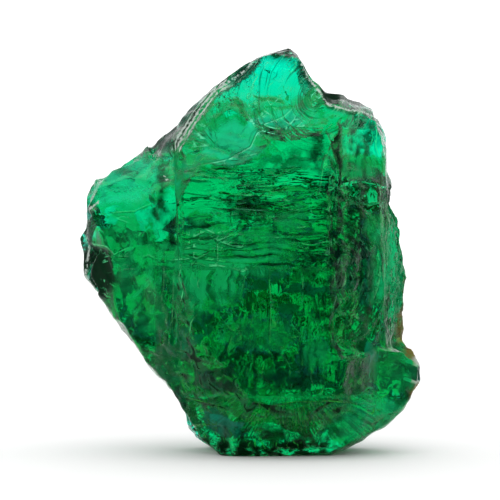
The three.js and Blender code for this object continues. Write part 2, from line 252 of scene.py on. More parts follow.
# Ripples: the finest relief follows the way each break ran. Each kind has the region that it
# covers, the distance in mm across its ripples, their spacing, their height in mm, and how much
# painted shade darkens their hollows.
places, normals = vertex_rows(stone.data)
x, y, z = places.T
front = eased((-0.1 - normals[:, 1]) / 0.3)
drift = grain((3.4, 3.4, 1.6), 5.2)
rough = grain(0.7, 15.2)


def spread_along(points, width):
    """1 on a line of [right, up] points seen from the front, falling to 0 at width."""
    return eased(1 - line_distance(points)[0] / width)


def around(right, up, tall=1.0):
    """Distance in mm from a point seen from the front, in rings that are tall times as high."""
    return np.hypot(x - right, (z - up) / tall)


def fan(right, up, per_mm):
    """The angle about a point seen from the front, so that its ripples fan out from there."""
    return np.arctan2(z - up, x - right) * per_mm


# The ridge of the upper left edge: the skin is outside it, and the clear break inside it
RIDGE = [(-5.44, 22.35), (-4.91, 23.4), (-4.39, 24.3), (-3.94, 25.05), (-3.49, 25.8),
         (-2.74, 26.7), (-1.39, 27.5), (-0.49, 28.2), (0.26, 29.1)]
ridge_away, ridge_side, _ = line_distance(RIDGE)
skin = eased(ridge_side * ridge_away / 0.2 + 0.5) * eased((1.0 - x) / 0.6) * eased((z - 21.6) / 1)
ridge = eased((0.5 - ridge_away) / 0.2)
crust = eased((x - 9.6) / 1.0) * eased((z - 8.0) / 2.0) * eased((20.6 - z) / 2.0)

RIPPLES = [
    {"region": 0.25 * np.ones(len(x)), "across": z + 0.4 * x, "spacing": 0.7, "height": 0.05,
     "streaks": 0.1},
    {"region": 0.9 * patch(-5.4, 6.2, 13.0, 21.4, 1.5) * front, "across": z + 0.3 * drift,
     "spacing": 0.28, "height": 0.09, "streaks": 0.55},
    {"region": 0.8 * patch(-5.6, 8.2, 4.0, 14.5, 1.5) * front, "across": x + 0.4 * drift,
     "spacing": 0.36, "height": 0.06, "streaks": 0.35},
    {"region": eased((5.4 - around(5.0, 26.2)) / 1) * front * eased((z - 21) / 1.5),
     "across": around(5.0, 26.2, 1.1) + 0.1 * drift, "spacing": 0.24, "height": 0.11,
     "streaks": 0.5},
    {"region": 1.2 * patch(-5.8, -2.2, 22.2, 26.0, 0.8) * front,
     "across": fan(-2.1, 22.2, 5.0), "spacing": 0.24, "height": 0.10, "streaks": 0.4},
    {"region": 1.2 * eased((4.8 - around(5.7, 13.4, 1.25)) / 1)
     * eased((around(5.7, 13.4, 1.25) - 1.6) / 0.6) * front * eased((x - 5.5) / 0.8),
     "across": around(5.7, 13.4, 1.25), "spacing": 0.36, "height": 0.11, "streaks": 0.3},
    {"region": patch(-12.6, -6.4, 7.0, 20.0, 1.5) * front,
     "across": around(-9.6, 15.4, 1.3) + 0.3 * drift, "spacing": 0.5, "height": 0.06,
     "streaks": 0.2},
    {"region": patch(-5.0, 9.5, 0.2, 5.0, 1.2) * front, "across": fan(2.5, 7.0, 6.0),
     "spacing": 0.24, "height": 0.09, "streaks": 0.3},
    {"region": patch(5.6, 10.6, 18.0, 25.0, 1.2) * front,
     "across": fan(8.0, 28.0, 6.0), "spacing": 0.4, "height": 0.07, "streaks": 0.3},
    {"region": 2 * np.maximum(skin, ridge), "across": ridge_away + 0.06 * rough,
     "spacing": 0.20, "height": 0.12, "streaks": 0.7},
    {"region": 2 * crust, "across": x - 0.15 * z + 0.4 * rough, "spacing": 0.26,
     "height": 0.10, "streaks": 0.5},
]
regions = np.stack([ripple["region"] for ripple in RIPPLES])
strongest = regions.argmax(axis=0)
lead = np.sort(regions, axis=0)
lead = np.clip((lead[-1] - lead[-2]) / 0.2, 0, 1)
flow = np.choose(strongest, [ripple["across"] / ripple["spacing"] for ripple in RIPPLES])
flow_height = lead * np.array([ripple["height"] for ripple in RIPPLES])[strongest]
streaks = lead * front * np.array([ripple["streaks"] for ripple in RIPPLES])[strongest]

# Creases: thin clefts, darkened down the middle with painted shade, with a painted highlight along
# a lip on one side. The named ones follow the jumps above. The others fall by chance: level ones
# in the middle, upright ones below, hackles and arcs round where a break began at the top, and a
# fan along the bottom.
draw = random.Random(5)
CHANCE_CREASES = [
    {"count": 80, "box": (-5.2, 6.0, 13.5, 21.6), "length": (0.6, 2.6), "angle": (-14, 14)},
    {"count": 24, "box": (-5.0, 9.0, 4.2, 14.5), "length": (0.6, 2.0), "angle": (70, 110)},
    {"count": 24, "box": (-8.0, 9.0, 3.0, 14.0), "length": (0.3, 1.0), "angle": (0, 180)},
    {"count": 14, "box": (-11.5, -6.0, 9.0, 20.0), "length": (0.4, 1.4), "angle": (-30, 30)},
    {"count": 30, "box": (1.5, 4.8, 23.4, 28.6), "length": (0.3, 1.2), "angle": (35, 65)},
    {"count": 46, "box": (-2.8, -0.2, 24.6, 26.8), "length": (0.15, 0.5), "angle": (0, 180)},
    {"count": 50, "box": (0.5, 3.7, 28.7, 29.7), "length": (0.12, 0.4), "angle": (0, 180)},
    {"count": 16, "box": (5.6, 9.8, 17.5, 24.5), "length": (0.5, 1.6), "angle": (60, 110)},
    {"count": 22, "box": (5.6, 9.0, 10.0, 19.0), "length": (0.8, 3.0), "angle": (75, 105)},
    {"count": 60, "box": (-4.4, 6.8, 0.4, 3.9), "length": (0.2, 0.9), "angle": (60, 120)},
    {"count": 18, "box": (7.2, 11.6, 0.8, 4.6), "length": (0.4, 1.6), "angle": (5, 40)},
]
# Arcs and hackles of creases: shine scales the painted highlight on their lips
ARCS = [
    {"count": 30, "centre": (2.3, 26.4), "radius": (1.0, 3.2), "start": (110, 230),
     "shine": 2.4},
    {"count": 18, "centre": (5.7, 13.4), "radius": (1.8, 4.2), "start": (-50, 10), "shine": 1.2},
    {"count": 6, "centre": (-2.0, 8.6), "radius": (0.3, 1.4), "start": (0, 360), "shine": 1},
    {"count": 6, "centre": (3.2, 7.6), "radius": (0.3, 1.4), "start": (0, 360), "shine": 1},
]
HACKLES = {"count": 22, "centre": (-2.6, 22.7), "start": (0.3, 0.8), "length": (0.7, 1.5),
           "angle": (95, 185), "shine": 2.2}


def chance_crease(line, shine=1):
    """A line with how deep it is in mm, how dark its painted shade is, and how bright the painted
    highlight on its lip is.
    """
    depth = draw.uniform(0.008, 0.025)
    return line, depth, draw.choice((0, 0.15, 0.3, 0.6)), shine * draw.choice((0, 0.1, 0.28))


def on_circle(centre, radius, degrees):
    angle = math.radians(degrees)
    return Vector(centre) + radius * Vector((math.cos(angle), math.sin(angle)))


creases = [(jump["line"], 0.02, 0.45, 0.25) for jump in JUMPS]
for kind in CHANCE_CREASES:
    left, right, bottom, top = kind["box"]
    for _ in range(kind["count"]):
        start = Vector((draw.uniform(left, right), draw.uniform(bottom, top)))
        angle = math.radians(draw.uniform(*kind["angle"]))
        length = draw.uniform(*kind["length"])
        along = Vector((math.cos(angle), math.sin(angle)))
        bend = Vector((-along.y, along.x)) * draw.uniform(-0.2, 0.2) * length
        line = [start, start + along * length / 2 + bend, start + along * length]
        creases.append(chance_crease(line))
for kind in ARCS:
    for _ in range(kind["count"]):
        radius = draw.uniform(*kind["radius"])
        first = draw.uniform(*kind["start"])
        turn = draw.uniform(6, 14)
        creases.append(chance_crease(
            [on_circle(kind["centre"], radius, first + step * turn) for step in range(5)],
            kind["shine"]))
for _ in range(HACKLES["count"]):
    angle = draw.uniform(*HACKLES["angle"])
    start = draw.uniform(*HACKLES["start"])
    end = start + draw.uniform(*HACKLES["length"])
    creases.append(chance_crease(
        [on_circle(HACKLES["centre"], reach, angle) for reach in (start, end)],
        HACKLES["shine"]))

crease = np.full(len(x), 9.0)
crease_depth = np.zeros(len(x))
crease_dirt = np.zeros(len(x))
crease_light = np.zeros(len(x))
for line, depth, crease_shade_mark, light in creases:
    away, side, along = line_distance(line)
    taper = eased(along / 0.3) * eased((1 - along) / 0.3) * front
    closer = away < np.abs(crease)
    crease = np.where(closer, away * side, crease)
    crease_depth = np.where(closer, depth * taper, crease_depth)
    crease_dirt = np.where(closer, crease_shade_mark * taper, crease_dirt)
    crease_light = np.where(closer, light * taper, crease_light)

# The weathered rim: rubbed pale lines along its ridges, dull patches, foggy patches that are
# partly painted light, dark skin, and iron stains on the right
def spot(centre, reach):
    """1 all over the inner part of near, falling to 0 at its reach."""
    return np.clip(2.2 * near(centre, reach), 0, 1)


def cloud(at, reach):
    """1 over the inner half of a ragged spot seen from the front, and 0 past its reach in mm."""
    away = np.hypot((x - at[0]) / reach[0], (z - at[1]) / reach[1])
    return eased(2 * (1 - away) + 0.4 * rough)


LEFT_RIM = [(-11.1, 18.6), (-11.9, 18.0), (-12.1, 16.6), (-12.1, 15.2), (-12.4, 13.0),
            (-11.2, 11.5), (-10.3, 10.5), (-9.4, 9.0), (-8.6, 7.7)]
SHOULDER_RIDGE = [(3.7, 29.3), (3.9, 28.4), (4.4, 27.5), (5.3, 26.2), (5.7, 25.5), (6.5, 25.3),
                  (7.2, 25.1), (8.0, 25.2), (8.6, 25.0), (9.5, 24.75)]
PALE_LINES = [
    LEFT_RIM, SHOULDER_RIDGE, RIDGE,
    [(right + 0.3, up - 0.15) for right, up in RIDGE[:6]],
    [(right - 0.3, up + 0.1) for right, up in RIDGE[:7]],
    [(-6.5, 20.9), (-6.0, 20.1)],
]
pale_away = np.min([line_distance(line)[0] for line in PALE_LINES], axis=0)
pale_away += 1 - eased(3 * front)

# Dark spots of painted shade, where the stone looks dark, and foggy ones, partly fine bruises
# that scatter the light and partly painted light where light comes through the stone: the middle
# as seen from the front, the reach in mm, and how strong each is
SHADE_SPOTS = [
    {"at": (-6.35, 19.9), "reach": (0.6, 2.0), "dark": 0.6},
    {"at": (-6.1, 17.8), "reach": (1.2, 1.1), "dark": 0.55},
    {"at": (-5.55, 16.1), "reach": (0.45, 1.0), "dark": 0.6},
    {"at": (-6.2, 5.9), "reach": (1.2, 1.6), "dark": 0.4},
    {"at": (-7.0, 17.0), "reach": (1.6, 2.0), "dark": 0.3},
    {"at": (-0.15, 18.4), "reach": (2.3, 0.8), "dark": 0.85},
    {"at": (6.0, 18.8), "reach": (1.2, 1.8), "dark": 0.65},
    {"at": (6.6, 15.9), "reach": (1.4, 4.8), "dark": 0.5},
    {"at": (7.4, 14.6), "reach": (1.6, 3.0), "dark": 0.35},
    {"at": (5.0, 14.2), "reach": (2.2, 2.6), "dark": 0.5},
    {"at": (4.85, 22.7), "reach": (0.8, 1.3), "dark": 0.6},
    {"at": (5.4, 21.2), "reach": (1.7, 1.3), "dark": 0.5},
    {"at": (7.8, 22.9), "reach": (1.3, 1.3), "dark": 0.6},
    {"at": (9.3, 23.8), "reach": (0.8, 1.4), "dark": 0.55},
    {"at": (1.6, 23.6), "reach": (1.2, 0.5), "dark": 0.5},
    {"at": (1.6, 5.9), "reach": (1.4, 1.3), "dark": 0.6},
    {"at": (7.2, 6.4), "reach": (1.8, 2.2), "dark": 0.5},
    {"at": (0.4, 1.0), "reach": (5.8, 1.8), "dark": 0.65},
]
FOG_AND_GLOW_SPOTS = [
    {"at": (-9.6, 20.4), "reach": (4.6, 3.0), "fog": 0.5, "pale": 0.8},
    {"at": (-9.0, 13.8), "reach": (3.4, 4.6), "fog": 0.4, "pale": 0.0},
    {"at": (-7.2, 10.8), "reach": (1.8, 2.6), "fog": 0.3, "pale": 0.0},
    {"at": (-3.4, 13.9), "reach": (3.8, 4.0), "fog": 0.65, "pale": 0.0},
    {"at": (-4.2, 21.0), "reach": (1.2, 1.0), "fog": 0.4, "pale": 0.2},
    {"at": (-1.4, 22.9), "reach": (3.2, 2.2), "fog": 0.75, "pale": 0.6},
    {"at": (2.6, 24.6), "reach": (3.4, 1.0), "fog": 0.6, "pale": 0.8},
    {"at": (7.9, 21.1), "reach": (2.2, 1.1), "fog": 0.6, "pale": 0.0},
    {"at": (3.0, 17.4), "reach": (1.5, 1.8), "fog": 0.4, "pale": 0.0},
    {"at": (0.8, 14.8), "reach": (2.8, 2.2), "fog": 0.5, "pale": 0.0},
    {"at": (0.8, 9.1), "reach": (3.6, 1.5), "fog": 0.2, "pale": 0.0},
    {"at": (4.5, 7.5), "reach": (1.4, 1.4), "fog": 0.3, "pale": 0.0},
    {"at": (9.0, 16.6), "reach": (1.1, 1.2), "fog": 0.35, "pale": 0.0},
    {"at": (9.3, 12.8), "reach": (1.2, 2.2), "fog": 0.35, "pale": 0.0},
    {"at": (10.4, 13.8), "reach": (1.6, 5.8), "fog": 0.3, "pale": 0.2},
    {"at": (10.4, 6.6), "reach": (2.2, 3.0), "fog": 0.2, "pale": 0.0},
    {"at": (9.2, 2.4), "reach": (4.6, 2.6), "fog": 0.45, "pale": 0.2},
]
mottled = eased(0.65 + 0.9 * rough)
shade_spots = sum(kind["dark"] * cloud(kind["at"], kind["reach"]) for kind in SHADE_SPOTS)
shade_spots = np.minimum(shade_spots, 0.6) * mottled * front
fog_and_glow_spots = sum(kind["fog"] * cloud(kind["at"], kind["reach"]) for kind in FOG_AND_GLOW_SPOTS)
pale_glow_spots = sum(kind["pale"] * cloud(kind["at"], kind["reach"]) for kind in FOG_AND_GLOW_SPOTS)

# The sides of the ledges are dull, with painted shade that is darker where they face down. A facet
# on the left, the foot and the shoulder take painted shade too.
facet = eased((facing(-54, -10, 24) - 0.3) / 0.3)
steep = eased((normals[:, 1] + 0.70) / 0.14) * patch(-6.0, 6.8, 3.0, 28.4, 0.6)
steep *= eased((-1 - y) / 1.5)
underside = eased(-normals[:, 2] / 0.3)
shoulder = spot((7.4, -1, 26.6), (2.9, 6, 1.5))
foot = eased((1.5 - z) / 0.8) * eased((-1 - y) / 2)
frosted = np.clip(
    0.9 * ridge + 0.6 * skin + crust + 0.6 * spread_along(LEFT_RIM, 0.5)
    + 0.5 * spread_along(SHOULDER_RIDGE, 0.5) + 0.3 * near((-9.6, -2.5, 21.4), (4.4, 6, 2.6))
    + cloud((12.4, 5.6), (1.4, 3.4)) + 0.9 * cloud((11.6, 8.0), (1.1, 1.6))
    + 0.4 * near((2.9, -1, 30.2), (2.4, 4, 1.4)) + 0.4 * shoulder, 0, 1)
iron = np.clip(
    cloud((11.6, 9.0), (1.3, 2.4)) + cloud((12.3, 4.3), (1.0, 1.0))
    + cloud((11.8, 7.4), (1.0, 0.9)) + 0.55 * cloud((11.4, 14.5), (1.3, 5.5)), 0, 1)
# Painted shade on the peak, shoulder, left facet, spots, foot and ledge sides, plus the dark skin
grime = np.clip(
    0.95 * spot((2.4, -1, 30.4), (3.0, 6, 1.9)) * (0.3 + 0.7 * mottled) + 0.75 * shoulder
    + 0.95 * spot((-11.2, -2, 13.4), (2.4, 6, 3.0)) * facet + shade_spots
    + 0.55 * skin * eased(0.8 - 0.9 * rough) + 0.6 * foot * mottled
    + steep * (0.2 + 0.5 * underside + 0.5 * eased((x - 5) / 0.6)), 0, 1)
fog_pale = np.clip(pale_glow_spots, 0, 1)
fog = np.clip((0.8 + 0.4 * mottled) * fog_and_glow_spots * eased((3 - y) / 4) + 0.95 * steep, 0, 1)

SURFACE_VALUES = {
    "flow": flow, "flow_height": flow_height, "streaks": streaks, "crease": crease,
    "crease_depth": crease_depth, "crease_dirt": crease_dirt, "crease_light": crease_light,
    "pale_away": pale_away, "frosted": frosted, "iron": iron, "grime": grime, "fog": fog,
    "fog_pale": fog_pale,
}
for name, values in SURFACE_VALUES.items():
    stone.data.attributes.new(name, "FLOAT", "POINT").data.foreach_set("value", values)


# Inside the stone are cracks, thin wavy openings that mirror light like foil, and veils, dark
# sheets that dim what lies behind, partly tiny dark inclusions and partly painted shade set where
# the stone looks dark. Both are thin sheets, closed at the rim.
SHEET_RINGS = 6
SHEET_SIDES = 24
SHEET_GAP = 0.05          # mm, at the middle
CLEARANCE = 0.25          # mm, from any sheet to the outside of the stone
CRACK_KINDS = [
    {"count": 26, "low": (-6, -6, 13), "high": (7, 5, 22), "turn": (-20, 20), "lean": (74, 100),
     "width": (1.5, 5.5), "height": (1.0, 3.0)},
    {"count": 14, "low": (-9, -5, 3), "high": (9, 6, 18), "turn": (48, 88), "lean": (-14, 14),
     "width": (1.0, 2.6), "height": (2.0, 6.0)},
    {"count": 10, "low": (-9, -5, 3), "high": (9, 6, 18), "turn": (-88, -48), "lean": (-14, 14),
     "width": (1.0, 2.6), "height": (2.0, 6.0)},
    {"count": 22, "low": (-6, -4, 2), "high": (8, 6, 14), "turn": (-40, 40), "lean": (-70, -40),
     "width": (1.5, 4.0), "height": (1.0, 3.0)},
    {"count": 8, "low": (-6, -4, 4), "high": (8, 5, 20), "turn": (-40, 40), "lean": (40, 65),
     "width": (1.5, 3.0), "height": (1.0, 2.0)},
]
# Each veil, partly painted shade: its middle as seen from the front, width and height in mm, turn,
# and darkness
SHADE_VEILS = [
    {"at": (-0.1, 18.4), "size": (3.6, 0.9), "turn": 0, "dark": 0.95},
    {"at": (0.2, 17.3), "size": (2.6, 1.6), "turn": 10, "dark": 0.75},
    {"at": (1.8, 23.7), "size": (2.0, 1.0), "turn": 0, "dark": 0.7},
    {"at": (-6.3, 19.8), "size": (0.9, 3.2), "turn": -20, "dark": 0.8},
    {"at": (-5.5, 16.1), "size": (0.6, 1.6), "turn": 0, "dark": 0.9},
    {"at": (-6.2, 13.2), "size": (0.5, 3.0), "turn": 0, "dark": 0.8},
    {"at": (-7.6, 9.7), "size": (1.3, 2.2), "turn": -20, "dark": 0.8},
    {"at": (-10.4, 14.1), "size": (1.6, 2.2), "turn": -30, "dark": 0.9},
    {"at": (6.0, 15.6), "size": (1.6, 7.0), "turn": 20, "dark": 0.75},
    {"at": (7.6, 17.2), "size": (1.8, 4.4), "turn": 30, "dark": 0.8},
    {"at": (8.2, 12.8), "size": (1.6, 5.0), "turn": 30, "dark": 0.75},
    {"at": (5.2, 9.8), "size": (2.6, 4.0), "turn": 10, "dark": 0.5},
    {"at": (3.0, 6.2), "size": (5.0, 3.2), "turn": 0, "dark": 0.7},
    {"at": (-2.2, 6.4), "size": (4.6, 3.0), "turn": 0, "dark": 0.6},
    {"at": (0.4, 8.8), "size": (5.0, 3.0), "turn": 0, "dark": 0.4},
    {"at": (8.0, 22.0), "size": (1.4, 2.6), "turn": 10, "dark": 0.6},
    {"at": (4.9, 22.5), "size": (1.0, 2.0), "turn": 10, "dark": 0.8},
    {"at": (2.6, 21.4), "size": (5.0, 1.6), "turn": 0, "dark": 0.5},
    {"at": (1.6, 16.0), "size": (1.0, 3.0), "turn": 10, "dark": 0.4},
    {"at": (3.6, 13.0), "size": (2.4, 3.0), "turn": 10, "dark": 0.45},
    {"at": (7.2, 14.4), "size": (2.0, 3.4), "turn": 30, "dark": 0.9},
    {"at": (-8.6, 15.6), "size": (5.0, 2.4), "turn": -20, "dark": 0.45},
    {"at": (-1.8, 1.7), "size": (3.2, 1.4), "turn": 0, "dark": 0.8},
    {"at": (2.2, 1.5), "size": (3.2, 1.4), "turn": 0, "dark": 0.9},
    {"at": (5.8, 2.0), "size": (2.6, 1.4), "turn": 10, "dark": 0.8},
]

SHARP_EDGE = 28           # degrees: an edge that turns further is a sharp one

stone_tree = BVHTree.FromObject(stone, bpy.context.evaluated_depsgraph_get())
sheet_points, sheet_faces, sheet_trees, sheet_dark, sheet_material = [], [], [], [], []


def is_inside(point):
    spot, normal, _, distance = stone_tree.find_nearest(point * MM)
    return distance > CLEARANCE * MM and (point * MM - spot).dot(normal) < 0


def add_sheet(centre, turn, lean, width, height, seed, dark=None):
    """Adds one sheet centred in mm, facing turn and lean: a veil of this darkness, or a crack.
    False if it has no room."""
    out = way(turn, lean)
    side = Vector((0, 0, 1)).cross(out).normalized()
    above = out.cross(side)
    upper, lower, shares = [], [], []
    for ring in range(SHEET_RINGS + 1):
        share = ring / SHEET_RINGS
        for step in range(SHEET_SIDES if ring else 1):
            angle = 2 * math.pi * step / SHEET_SIDES
            edge = Vector((1.3 * math.cos(angle), 1.3 * math.sin(angle), seed))
            reach = share * (1 + 0.55 * noise.fractal(edge, 0.6, 2.1, 3))
            u = reach * width / 2 * math.cos(angle)
            v = reach * height / 2 * math.sin(angle)
            lift = 0.35 * noise.fractal(Vector((0.35 * u, 0.35 * v, seed + 7)), 0.7, 2.1, 3)
            middle = Vector(centre) + side * u + above * v + out * lift
            gap = out * (SHEET_GAP / 2 * (1 - share ** 2))
            upper.append(middle + gap)
            lower.append(middle - gap)
            shares.append(share)
    shared = len(upper) - SHEET_SIDES
    points = upper + lower[:shared]
    top_row = list(range(len(upper)))
    low_row = [len(upper) + i if i < shared else i for i in range(len(upper))]
    order = 1 if dark is None else -1
    faces = []
    for row, flip in ((top_row, order), (low_row, -order)):
        for step in range(SHEET_SIDES):
            after = (step + 1) % SHEET_SIDES
            faces.append((row[0], row[1 + after], row[1 + step])[::flip])
            for a in range(1, 1 + (SHEET_RINGS - 1) * SHEET_SIDES, SHEET_SIDES):
                b = a + SHEET_SIDES
                quad = (row[a + step], row[a + after], row[b + after], row[b + step])
                faces.append(quad[::flip])
    tree = BVHTree.FromPolygons(points, faces)
    if not all(is_inside(point) for point in upper[::2]):
        return False
    if any(tree.overlap(other) for other in sheet_trees):
        return False
    first = len(sheet_points)
    sheet_trees.append(tree)
    sheet_points.extend(points)
    sheet_dark.extend([(dark or 0) * (1 - share ** 2) for share in shares + shares[:shared]])
    sheet_faces.extend([tuple(first + i for i in face) for face in faces])
    sheet_material.extend([0 if dark is None else 1] * len(faces))
    return True


def stone_front(right, up):
    """How far back the stone's front is, in mm, at a point seen from the front."""
    spot = stone_tree.ray_cast(Vector((right, -40, up)) * MM, Vector((0, 1, 0)))[0]
    return spot.y / MM if spot else 0


for number, veil in enumerate(SHADE_VEILS):
    right, up = veil["at"]
    width, height = veil["size"]
    for depth in (0.9, 1.3, 1.8, 2.4, 3.0, 3.6, 4.4):
        centre = (right, stone_front(right, up) + depth, up)
        if add_sheet(centre, veil["turn"], 0, width * 1.3, height * 1.3, 50 + number,
                     dark=veil["dark"]):
            break
    else:
        print("no room for veil", number)

draw = random.Random(7)
for kind in CRACK_KINDS:
    placed = 0
    for attempt in range(12 * kind["count"]):
        if placed == kind["count"]:
            break
        centre = [draw.uniform(a, b) for a, b in zip(kind["low"], kind["high"])]
        sizes = [draw.uniform(*kind[name]) for name in ("turn", "lean", "width", "height")]
        placed += add_sheet(centre, *sizes, seed=attempt + 31 * len(sheet_points))

sheet_mesh = bpy.data.meshes.new("sheets")
sheet_mesh.from_pydata([point * MM for point in sheet_points], [], sheet_faces)
sheet_mesh.attributes.new("veil", "FLOAT", "POINT").data.foreach_set("value", sheet_dark)
sheets = bpy.data.objects.new("sheets", sheet_mesh)
scene.collection.objects.link(sheets)
for piece in (stone, sheets):
    piece.data.materials.clear()
    for name in ("clear_beryl_broken", "dark_veil"):
        piece.data.materials.append(bpy.data.materials.get(name) or bpy.data.materials.new(name))
sheet_mesh.polygons.foreach_set("material_index", sheet_material)
with bpy.context.temp_override(active_object=stone, selected_editable_objects=[stone, sheets]):
    bpy.ops.object.join()
stone.data.shade_smooth()
stone.data.set_sharp_from_angle(angle=math.radians(SHARP_EDGE))


def linear(colour):
    """An sRGB hex colour as linear red, green, blue and alpha."""
    parts = [int(colour[i:i + 2], 16) / 255 for i in (1, 3, 5)]
    return [p / 12.92 if p <= 0.04045 else ((p + 0.055) / 1.055) ** 2.4 for p in parts] + [1]


def add(tree, kind, inputs=None, **settings):
    """Adds a node. Each input is a value, or a (node, output) pair to link from."""
    made = tree.nodes.new("ShaderNode" + kind)
    for name, value in settings.items():
        setattr(made, name, value)
    for name, value in (inputs or {}).items():
        if isinstance(value, tuple) and isinstance(value[0], bpy.types.Node):
            tree.links.new(value[0].outputs[value[1]], made.inputs[name])
        else:
            made.inputs[name].default_value = value
    return made


# Clear green beryl, fresh from the break: glassy and a little wavy, deep green where it is
# thick and blue green where it is thin. Its rubbed and weathered rim is rough, pale and streaked,
# and water has left iron in the crust on the right. Painted shade darkens its creases, the
# hollows of its ripples, its shade spots and its ledge sides; a painted highlight runs along the
# lips of its creases, and its foggy patches are partly painted light.
BERYL_IOR = 1.58
ABSORPTION = 1560         # for each metre, times one less the colour of Volume Absorption
CREASE_WIDTH = 0.09       # mm, from the middle of a crease to its lip
SHADE_WIDTH = 0.06
LIP_PLACE = 0.09
LIP_WIDTH = 0.05

beryl = bpy.data.materials["clear_beryl_broken"]
beryl.use_nodes = True
tree = beryl.node_tree
tree.nodes.clear()
where = add(tree, "TexCoord")
mm_places = add(tree, "Mapping", {"Vector": (where, "Object"), "Scale": (1000, 1000, 1000)})
roll = add(tree, "TexNoise", {"Vector": (mm_places, "Vector"), "Scale": 0.9, "Detail": 1.5})
values = {name: add(tree, "Attribute", attribute_name=name) for name in SURFACE_VALUES}

slow = add(tree, "VectorMath", {0: (mm_places, "Vector"), 1: (0.22, 0.22, 0.22)},
           operation="MULTIPLY")
slow_parts = add(tree, "SeparateXYZ", {"Vector": (slow, "Vector")})
ripple_place = add(tree, "CombineXYZ", {
    "X": (values["flow"], "Fac"), "Y": (slow_parts, "X"), "Z": (slow_parts, "Z")})
ripples = add(tree, "TexNoise", {"Vector": (ripple_place, "Vector"), "Scale": 1.0, "Detail": 1.5})

crease_away = add(tree, "Math", {0: (values["crease"], "Fac")}, operation="ABSOLUTE")
crease_shape = add(tree, "MapRange", {"Value": (crease_away, "Value"), "From Max": CREASE_WIDTH,
                                      "To Min": 1, "To Max": 0}, interpolation_type="SMOOTHSTEP")
crease_cut = add(tree, "Math", {0: (crease_shape, "Result"), 1: (values["crease_depth"], "Fac")},
                 operation="MULTIPLY")
ripple_rise = add(tree, "Math", {0: (ripples, "Fac"), 1: (values["flow_height"], "Fac")},
                  operation="MULTIPLY")
rolled = add(tree, "Math", {0: (roll, "Fac"), 1: 0.10, 2: (ripple_rise, "Value")},
             operation="MULTIPLY_ADD")
surface = add(tree, "Math", {0: (rolled, "Value"), 1: (crease_cut, "Value")},
              operation="SUBTRACT")
bump = add(tree, "Bump", {"Height": (surface, "Value"), "Strength": 1, "Distance": MM})

# Painted shade: a dark line down the middle of each crease
shade_line = add(tree, "MapRange", {"Value": (crease_away, "Value"), "From Max": SHADE_WIDTH,
                                   "To Min": 1, "To Max": 0})
crease_shade_mark = add(tree, "Math", {0: (shade_line, "Result"), 1: (values["crease_dirt"], "Fac")},
           operation="MULTIPLY")
# Painted shade in the hollows of the ripples
shaded_hollows = add(tree, "MapRange", {"Value": (ripples, "Fac"), "From Min": 0.42,
                                      "From Max": 0.34})
hollow_shade_share = add(tree, "Math", {0: (shaded_hollows, "Result"), 1: (values["streaks"], "Fac")},
                   operation="MULTIPLY")
marks = add(tree, "Math", {0: (crease_shade_mark, "Value"), 1: (hollow_shade_share, "Value")}, operation="MAXIMUM")
dark_share = add(tree, "Math", {0: (marks, "Value"), 1: (values["grime"], "Fac")},
                 operation="MAXIMUM")

light_streaks = add(tree, "MapRange", {"Value": (ripples, "Fac"), "From Min": 0.50,
                                       "From Max": 0.64})
rough_share = add(tree, "Math", {0: (values["frosted"], "Fac"), 1: (light_streaks, "Result")},
                  operation="MULTIPLY")
dull_share = add(tree, "Math", {0: (values["frosted"], "Fac"), 1: 0.35}, operation="MULTIPLY")
frost_share = add(tree, "Math", {0: (rough_share, "Value"), 1: (dull_share, "Value")},
                  operation="MAXIMUM")

# Painted highlight: a light line along one lip of each crease
lip_away = add(tree, "Math", {0: (values["crease"], "Fac"), 1: LIP_PLACE}, operation="SUBTRACT")
lip_distance = add(tree, "Math", {0: (lip_away, "Value")}, operation="ABSOLUTE")
lip_line = add(tree, "MapRange", {"Value": (lip_distance, "Value"), "From Max": LIP_WIDTH,
                                  "To Min": 1, "To Max": 0})
lip_highlight_share = add(tree, "Math", {0: (lip_line, "Result"), 1: (values["crease_light"], "Fac")},
                operation="MULTIPLY")
grit = add(tree, "TexNoise", {"Vector": (mm_places, "Vector"), "Scale": 4.0, "Detail": 2})
ragged = add(tree, "Math", {0: (grit, "Fac"), 1: 0.36, 2: (values["pale_away"], "Fac")},
             operation="MULTIPLY_ADD")
pale_share = add(tree, "MapRange", {"Value": (ragged, "Value"), "From Min": 0.22,
                                    "From Max": 0.30, "To Min": 0.9, "To Max": 0})

shade_and_skin_share = add(tree, "MapRange", {"Value": (dark_share, "Value"), "From Min": 0.6})
dull = add(tree, "Math", {0: (frost_share, "Value"), 1: (shade_and_skin_share, "Result")},
           operation="MAXIMUM")
fog_streaks = add(tree, "MapRange", {"Value": (ripples, "Fac"), "From Min": 0.40,
                                     "From Max": 0.58, "To Min": 0.45, "To Max": 1.0})
fog_and_glow_share = add(tree, "Math", {0: (values["fog"], "Fac"), 1: (fog_streaks, "Result")},
                operation="MULTIPLY")
foggy = add(tree, "Math", {0: (dull, "Value"), 1: (fog_and_glow_share, "Value")}, operation="MAXIMUM")
lined = add(tree, "Math", {0: (foggy, "Value"), 1: (lip_highlight_share, "Value")}, operation="MAXIMUM")
opaque_share = add(tree, "Math", {0: (lined, "Value"), 1: (pale_share, "Result")},
                   operation="MAXIMUM")
clear_share = add(tree, "MapRange", {"Value": (opaque_share, "Value"), "To Min": 1.0,
                                     "To Max": 0.05})
roughness = add(tree, "MapRange", {"Value": (opaque_share, "Value"), "To Min": 0.03,
                                   "To Max": 0.5})

